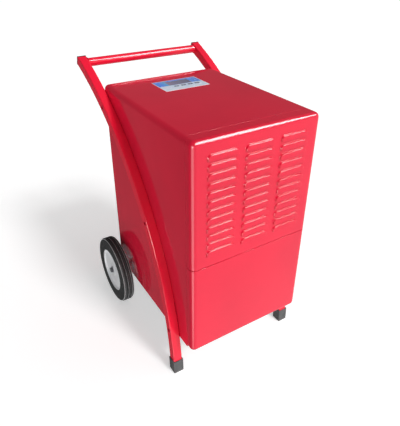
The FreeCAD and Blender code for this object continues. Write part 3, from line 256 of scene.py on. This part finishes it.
def galvanised():
    """Zinc-coated sheet with its frosty spangle."""
    finish = Finish("galvanised", Metallic=0.85)
    spangle = finish.cells(75, "Color")
    grey = finish.add("RGBToBW", {0: spangle}).outputs[0]
    finish.colour(finish.blend(finish.spread(grey, 0.2, 0.8), (0.47, 0.49, 0.50), (0.66, 0.67, 0.68)))
    finish.roughness(finish.spread(grey, 0.2, 0.8, 0.32, 0.5))
    finish.bump(finish.noise(180, 3), 0.02 * MM)
    return finish


def metal(name, colour, roughness, streaks=(1, 1, 1), scale=200):
    """Bare or plated metal, with fine streaks along one axis."""
    finish = Finish(name, Metallic=1.0)
    place = finish.stretched(streaks)
    finish.colour(tinted(finish, colour, 0.14, scale, 4, place))
    brushed = finish.noise(scale * 1.5, 4, place)
    finish.roughness(finish.spread(brushed, 0.3, 0.7, roughness * 0.7, roughness * 1.4))
    finish.bump(finish.noise(scale * 3, 2, place), 0.01 * MM)
    return finish


def plastic(name, colour, roughness, grain=0.02, **uniform):
    """Moulded plastic with a spark-eroded grain."""
    finish = Finish(name, **uniform)
    finish.colour(tinted(finish, colour, 0.06, 20))
    finish.roughness(finish.spread(finish.noise(120, 4), 0.3, 0.7, roughness * 0.85, roughness * 1.2))
    finish.bump(finish.noise(1300, 2), grain * MM)
    return finish


def board_green():
    """Circuit board: solder mask over a maze of tracks."""
    finish = Finish("board_green")
    tracks = finish.spread(finish.cells(260, feature="DISTANCE_TO_EDGE"), 0.03, 0.06)
    finish.colour(finish.blend(tracks, (0.10, 0.34, 0.18), (0.02, 0.13, 0.06)))
    finish.roughness(finish.spread(tracks, 0, 1, 0.45, 0.3))
    finish.bump(tracks, -0.03 * MM)
    return finish


def label_print():
    """Printed overlay: a blue band behind, a pale field in front with a fine white border."""
    finish = Finish("label_print")
    low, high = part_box("control_label")
    middle = (low + high) / 2
    x, y = finish.axis("X"), finish.axis("Y")
    band = finish.spread(y, middle.y - 3 * MM, middle.y - 2 * MM)
    along = finish.spread(x, low.x, high.x)
    teal = finish.sums("MULTIPLY", finish.spread(along, 0.12, 0.24), finish.spread(along, 0.34, 0.26))
    blue = finish.blend(along, (0.10, 0.32, 0.98), (0.14, 0.34, 0.86))
    blue = finish.blend(finish.sums("MULTIPLY", teal, 0.55), blue, (0.16, 0.62, 0.68))
    pale = finish.blend(finish.spread(finish.noise(30, 2), 0.4, 0.6), (0.72, 0.84, 1.0), (0.80, 0.89, 1.0))
    field = finish.blend(band, pale, blue)
    across = finish.sums("ABSOLUTE", finish.sums("SUBTRACT", x, middle.x))
    back = finish.sums("ABSOLUTE", finish.sums("SUBTRACT", y, middle.y))
    half = (high - low) / 2
    side_border = finish.spread(across, half.x - 2.5 * MM, half.x - 2 * MM)
    end_border = finish.spread(back, half.y - 2.5 * MM, half.y - 2 * MM)
    border = finish.sums("MAXIMUM", side_border, end_border)
    finish.colour(finish.blend(border, field, (0.90, 0.93, 1.0)))
    finish.roughness(finish.spread(finish.noise(70, 4), 0.3, 0.7, 0.16, 0.3))
    finish.bump(finish.noise(700, 2), 0.008 * MM)
    return finish


def display_glass():
    """Grey-violet liquid crystal window, darker to the right."""
    finish = Finish("display_glass", IOR=1.5)
    low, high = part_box("control_label")
    along = finish.spread(finish.axis("X"), low.x + 0.25 * (high.x - low.x), low.x + 0.75 * (high.x - low.x))
    glow = finish.blend(along, (0.34, 0.29, 0.42), (0.18, 0.19, 0.28))
    line = finish.sums("FRACT", finish.sums("MULTIPLY", finish.axis("Y"), 900.0))
    rows = finish.spread(line, 0.4, 0.6, 0, 0.2)
    finish.colour(finish.blend(rows, glow, (0.10, 0.10, 0.16)))
    finish.roughness(finish.spread(finish.noise(60, 3), 0.3, 0.7, 0.08, 0.16))
    return finish


def tank_plastic():
    """Milky polypropylene."""
    finish = plastic("tank_plastic", (0.80, 0.83, 0.84), 0.38)
    finish.shader.inputs["Subsurface Weight"].default_value = 0.3
    finish.shader.inputs["Subsurface Radius"].default_value = (0.01, 0.01, 0.012)
    finish.shader.inputs["Subsurface Scale"].default_value = 0.3
    return finish


FINISHES = {
    "red_paint": red_paint("red_paint", (0.70, 0.009, 0.040)),
    "rim_paint": enamel("rim_paint", (0.84, 0.86, 0.88), 0.34, (0.45, 0.45, 0.45)),
    "galvanised": galvanised(),
    "plain_steel": metal("plain_steel", (0.58, 0.58, 0.59), 0.3, (0.2, 1, 1)),
    "dark_steel": metal("dark_steel", (0.12, 0.12, 0.13), 0.42),
    "foot_rubber": rubber("foot_rubber", (0.062, 0.062, 0.063), (0.16, 0.16, 0.155), 0.35),
    "tyre": rubber("tyre", (0.014, 0.015, 0.016), (0.07, 0.07, 0.068), 0.4),
    "black_plastic": plastic("black_plastic", (0.035, 0.035, 0.04), 0.45),
    "nylon": plastic("nylon", (0.78, 0.77, 0.70), 0.4),
    "fin_aluminium": metal("fin_aluminium", (0.74, 0.75, 0.76), 0.36, (1, 1, 0.08), 300),
    "copper": metal("copper", (0.72, 0.36, 0.22), 0.3, (1, 1, 1), 60),
    "compressor_black": enamel("compressor_black", (0.02, 0.02, 0.022), 0.25, (0.2, 0.2, 0.2)),
    "label_print": label_print(),
    "key_plastic": plastic("key_plastic", (0.05, 0.075, 0.16), 0.3, 0.01),
    "tank_plastic": tank_plastic(),
    "float_foam": plastic("float_foam", (0.75, 0.69, 0.50), 0.7, 0.15),
    "board_green": board_green(),
    "mesh_dark": plastic("mesh_dark", (0.06, 0.06, 0.065), 0.5, 0.01),
}


# A lighter copy of the red paint for the rails and handle bar: painted light, so the tubes look more
# brightly lit than the case.
FRAME_PAINT_PAINTED_LIGHT = red_paint("frame_paint_painted_light", (0.86, 0.009, 0.040))


def dress(item, node):
    """Give a CAD piece the finish of its material slot. The tubes get a lighter copy of the red paint,
    painted light for the extra light they catch.
    """
    finish = FRAME_PAINT_PAINTED_LIGHT if node in ("rail_left", "rail_right", "handle_bar") else FINISHES[SLOT_OF[node]]
    item.data.materials.clear()
    item.data.materials.append(finish.material)


# ---------------------------------------------------------------- mesh helpers

def make_piece(name, mesh_data, body, slot, finish=None, smooth=True):
    """An object from a bmesh, which rides on a body and takes a slot's finish."""
    mesh = bpy.data.meshes.new(name)
    bmesh.ops.recalc_face_normals(mesh_data, faces=mesh_data.faces)
    mesh_data.to_mesh(mesh)
    mesh_data.free()
    if smooth:
        mesh.shade_smooth()
        mesh.set_sharp_from_angle(angle=math.radians(35))
    piece = bpy.data.objects.new(name, mesh)
    bpy.context.scene.collection.objects.link(piece)
    mesh.materials.append((finish or FINISHES[slot]).material)
    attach(piece, body)
    return piece


def turn(mesh, profile, place, steps=96, closed=False):
    """Spin a profile of (along, radius) points round an axis. place() makes (along, across, up) a point."""
    rings = []
    for along, radius in profile:
        ring = []
        for step in range(steps):
            angle = 2 * math.pi * step / steps
            ring.append(mesh.verts.new(place(along, radius * math.cos(angle), radius * math.sin(angle))))
        rings.append(ring)
    pairs = list(zip(rings, rings[1:])) + ([(rings[-1], rings[0])] if closed else [])
    for first, second in pairs:
        for step in range(steps):
            following = (step + 1) % steps
            mesh.faces.new((first[step], first[following], second[following], second[step]))
    return rings


def along_x(centre, sign=1):
    """Places a turned piece on an axis parallel to X, its first coordinate running outwards."""
    return lambda along, across, up: centre + Vector((along * sign, across, up))


def arc(centre, radius, start, end, steps):
    """Points of an arc, for a profile; angles in degrees."""
    turns = [math.radians(start + (end - start) * step / steps) for step in range(steps + 1)]
    return [(centre[0] + radius * math.cos(angle), centre[1] + radius * math.sin(angle)) for angle in turns]


# ---------------------------------------------------------------- pieces

def tyre_ridges(side, body, sign):
    """The moulding ridges round the tyre: fine raised lines at the shoulders and beside the grooves."""
    low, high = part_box(f"tyre_{side}")
    centre = (low + high) / 2
    radius = (high.z - low.z) / 2
    half_width = (high.x - low.x) / 2
    mesh = bmesh.new()
    lines = [(half_width - 2.2 * MM, radius - 3.4 * MM, 1.3 * MM), (2.6 * MM, radius - 0.4 * MM, 0.6 * MM),
             (-10.6 * MM, radius - 0.4 * MM, 0.6 * MM), (2.2 * MM - half_width, radius - 3.4 * MM, 1.3 * MM)]
    for along, level, thickness in lines:
        turn(mesh, arc((along, level), thickness, 0, 315, 7), along_x(centre, sign), 160, closed=True)
    return make_piece(f"tyre_ridges_{side}", mesh, body, "tyre", RIDGE_RUBBER)


def weld_beads():
    """Painted weld round each end of the handle bar."""
    low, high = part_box("handle_bar")
    centre = (low + high) / 2
    radius = (high.z - low.z) / 2
    mesh = bmesh.new()
    steps = 120
    size = 3.2 * MM
    for sign in (-1, 1):
        end = Vector((low.x if sign < 0 else high.x, centre.y, centre.z))
        ripple = [0.22 * MM * math.sin(step * 2.1) + 0.12 * MM * math.sin(step * 0.7 + 1)
                  for step in range(steps)]
        rings = []
        for angle in range(0, 91, 15):
            inward = (1 - math.sin(math.radians(angle))) * size
            outward = (1 - math.cos(math.radians(angle))) * size
            ring = []
            for step in range(steps):
                turned = 2 * math.pi * step / steps
                level = radius - 0.3 * MM + outward + ripple[step] * math.sin(math.radians(2 * angle))
                ring.append(mesh.verts.new(end + Vector((-sign * inward, level * math.cos(turned),
                                                          level * math.sin(turned)))))
            rings.append(ring)
        for first, second in zip(rings, rings[1:]):
            for step in range(steps):
                following = (step + 1) % steps
                mesh.faces.new((first[step], first[following], second[following], second[step]))
    # The welds take the tubes' lighter copy of the red paint, painted light.
    return make_piece("handle_welds", mesh, "chassis", "red_paint", FRAME_PAINT_PAINTED_LIGHT)


def display_window():
    """The display's glass, set in the overlay's window just below its face."""
    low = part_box("control_label")[0]
    board_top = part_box("control_board")[1].z
    width, depth = 82 * MM, 40 * MM
    middle = low + Vector((80 * MM, 70.5 * MM, 0))
    mesh = bmesh.new()
    bmesh.ops.create_cube(mesh, size=1)
    bmesh.ops.scale(mesh, vec=(width, depth, 0.25 * MM), verts=mesh.verts)
    bmesh.ops.translate(mesh, vec=(middle.x, middle.y, board_top + 0.13 * MM), verts=mesh.verts)
    bmesh.ops.bevel(mesh, geom=mesh.edges[:], offset=0.08 * MM, segments=2, affect="EDGES")
    return make_piece("display_window", mesh, "chassis", "label_print", display_glass(), smooth=False)


def key_mark(name, outlines):
    """A pale printed sign on a key's cap: flat shapes given in half-widths of the cap's shorter side."""
    low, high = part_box(f"key_{name}")
    middle = (low + high) / 2
    unit = min(high.x - low.x, high.y - low.y) / 2
    mesh = bmesh.new()
    for outline in outlines:
        rings = []
        for level in (-0.04 * MM, 0.05 * MM):
            rings.append([mesh.verts.new((middle.x + x * unit, middle.y + y * unit, high.z + level))
                          for x, y in outline])
        mesh.faces.new(rings[0])
        mesh.faces.new(rings[1])
        for corner in range(len(outline)):
            following = (corner + 1) % len(outline)
            mesh.faces.new((rings[0][corner], rings[0][following], rings[1][following], rings[1][corner]))
    return make_piece(f"key_{name}_mark", mesh, f"key_{name}", "label_print", KEY_PRINT, smooth=False)


def bar(left, right, near, far):
    """A rectangle's outline."""
    return [(left, near), (right, near), (right, far), (left, far)]


def open_ring(radius, thickness, gap):
    """A ring's outline, open at the top by a gap in degrees on each side."""
    outer = arc((0, 0), radius, 90 + gap, 450 - gap, 24)
    return outer + arc((0, 0), radius - thickness, 450 - gap, 90 + gap, 24)


def key_marks():
    """Plain signs: a broken ring with a bar, three lines, and arrows down and up."""
    key_mark("power", [open_ring(0.55, 0.14, 35), bar(-0.07, 0.07, 0.1, 0.66)])
    key_mark("mode", [bar(-0.5, 0.5, level - 0.07, level + 0.07) for level in (-0.36, 0, 0.36)])
    key_mark("down", [[(-0.5, 0.3), (0, -0.5), (0.5, 0.3)]])
    key_mark("up", [[(-0.5, -0.3), (0.5, -0.3), (0, 0.5)]])


def strand(mesh, start, end, across, up, width, lift, phase, pitch):
    """One thread of a woven mesh: a flat strip that passes over and under the others."""
    length = (end - start).length
    count = max(1, round(length / pitch))
    rows = []
    for step in range(count + 1):
        point = start.lerp(end, step / count)
        wave = lift if (step + phase) % 2 else -lift
        rows.append([mesh.verts.new(point + up * (wave + high * width) + across * (wide * width))
                     for wide, high in ((-1, 0), (0, 0.7), (1, 0), (0, -0.7))])
    for first, second in zip(rows, rows[1:]):
        for corner in range(4):
            following = (corner + 1) % 4
            mesh.faces.new((first[corner], first[following], second[following], second[corner]))


def woven_filter():
    """The air filter's mesh, woven from fine threads in each of the frame's windows."""
    low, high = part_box("filter_mesh")
    gap = 4 * MM
    pitch = 4.4 * MM
    middle_y = (low.y + high.y) / 2
    mesh = bmesh.new()
    for left, right in ((low.x, -gap), (gap, high.x)):
        columns = round((right - left) / pitch)
        rows = round((high.z - low.z) / pitch)
        for column in range(columns):
            x = left + (column + 0.5) * (right - left) / columns
            strand(mesh, Vector((x, middle_y, low.z)), Vector((x, middle_y, high.z)), Vector((1, 0, 0)),
                   Vector((0, 1, 0)), 0.55 * MM, 0.3 * MM, column, pitch)
        for row in range(rows):
            z = low.z + (row + 0.5) * (high.z - low.z) / rows
            strand(mesh, Vector((left, middle_y, z)), Vector((right, middle_y, z)), Vector((0, 0, 1)),
                   Vector((0, 1, 0)), 0.55 * MM, 0.3 * MM, row + 1, pitch)
    piece = make_piece("filter_weave", mesh, "filter", "mesh_dark")
    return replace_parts(piece, "filter_mesh")


KEY_PRINT = plastic("key_print", (0.82, 0.85, 0.9), 0.4, 0.01)
# Pale grey rubber for the tyre's ridges, so they show as light lines round the black tyre.
RIDGE_RUBBER = rubber("ridge_rubber", (0.42, 0.43, 0.44), (0.6, 0.6, 0.6), 0.5)


# ---------------------------------------------------------------- the scene

def make_world():
    """Even studio light, brighter in front on the right, with a sunlit patch low on the left."""
    world = bpy.data.worlds.new("studio")
    world.use_nodes = True
    tree = world.node_tree
    background = tree.nodes["Background"]
    look = tree.nodes.new("ShaderNodeTexCoord")
    side = tree.nodes.new("ShaderNodeVectorMath")
    side.operation = "DOT_PRODUCT"
    side.inputs[1].default_value = BRIGHT_SIDE
    tree.links.new(look.outputs["Generated"], side.inputs[0])
    ramp = tree.nodes.new("ShaderNodeMapRange")
    ramp.interpolation_type = "SMOOTHSTEP"
    for socket, value in (("From Min", -0.4), ("From Max", 1.0), ("To Min", 0.14), ("To Max", 1.15)):
        ramp.inputs[socket].default_value = value
    tree.links.new(side.outputs["Value"], ramp.inputs["Value"])
    patch = tree.nodes.new("ShaderNodeVectorMath")
    patch.operation = "DOT_PRODUCT"
    patch.inputs[1].default_value = SUNLIT_PATCH
    tree.links.new(look.outputs["Generated"], patch.inputs[0])
    glow = tree.nodes.new("ShaderNodeMapRange")
    glow.interpolation_type = "SMOOTHSTEP"
    for socket, value in (("From Min", 0.9), ("From Max", 0.97), ("To Min", 0.0), ("To Max", 4.0)):
        glow.inputs[socket].default_value = value
    tree.links.new(patch.outputs["Value"], glow.inputs["Value"])
    total = tree.nodes.new("ShaderNodeMath")
    tree.links.new(ramp.outputs["Result"], total.inputs[0])
    tree.links.new(glow.outputs["Result"], total.inputs[1])
    tree.links.new(total.outputs[0], background.inputs["Strength"])
    background.inputs["Color"].default_value = (1.0, 1.0, 1.0, 1.0)
    bpy.context.scene.world = world
    bpy.context.scene.view_settings.view_transform = "Standard"


def make_floor():
    """A plain pale floor, which the gloss doesn't mirror."""
    bpy.ops.mesh.primitive_plane_add(size=60)
    floor = bpy.context.object
    floor.name = "floor"
    floor.visible_glossy = False
    finish = Finish("floor", Emission_Color=(1, 1, 1, 1), Emission_Strength=0.4)
    finish.colour(tinted(finish, (0.84, 0.84, 0.84), 0.01, 1.5))
    finish.roughness(finish.spread(finish.noise(3, 3), 0.3, 0.7, 0.85, 0.95))
    floor.data.materials.append(finish.material)


make_camera()
make_world()
make_floor()
make_light("key", "SUN", 15, 43, 1.70, 14)
make_light("softbox", "AREA", 41, 48, 190, (1.5, 1.6), 3.2)
make_light("side_softbox", "AREA", -50, 8, 110, (1.1, 1.1), 3.2)

for node, item in NODES.items():
    dress(item, node)
tyre_ridges("left", "wheel_left", -1)
tyre_ridges("right", "wheel_right", 1)
weld_beads()
display_window()
key_marks()
woven_filter()
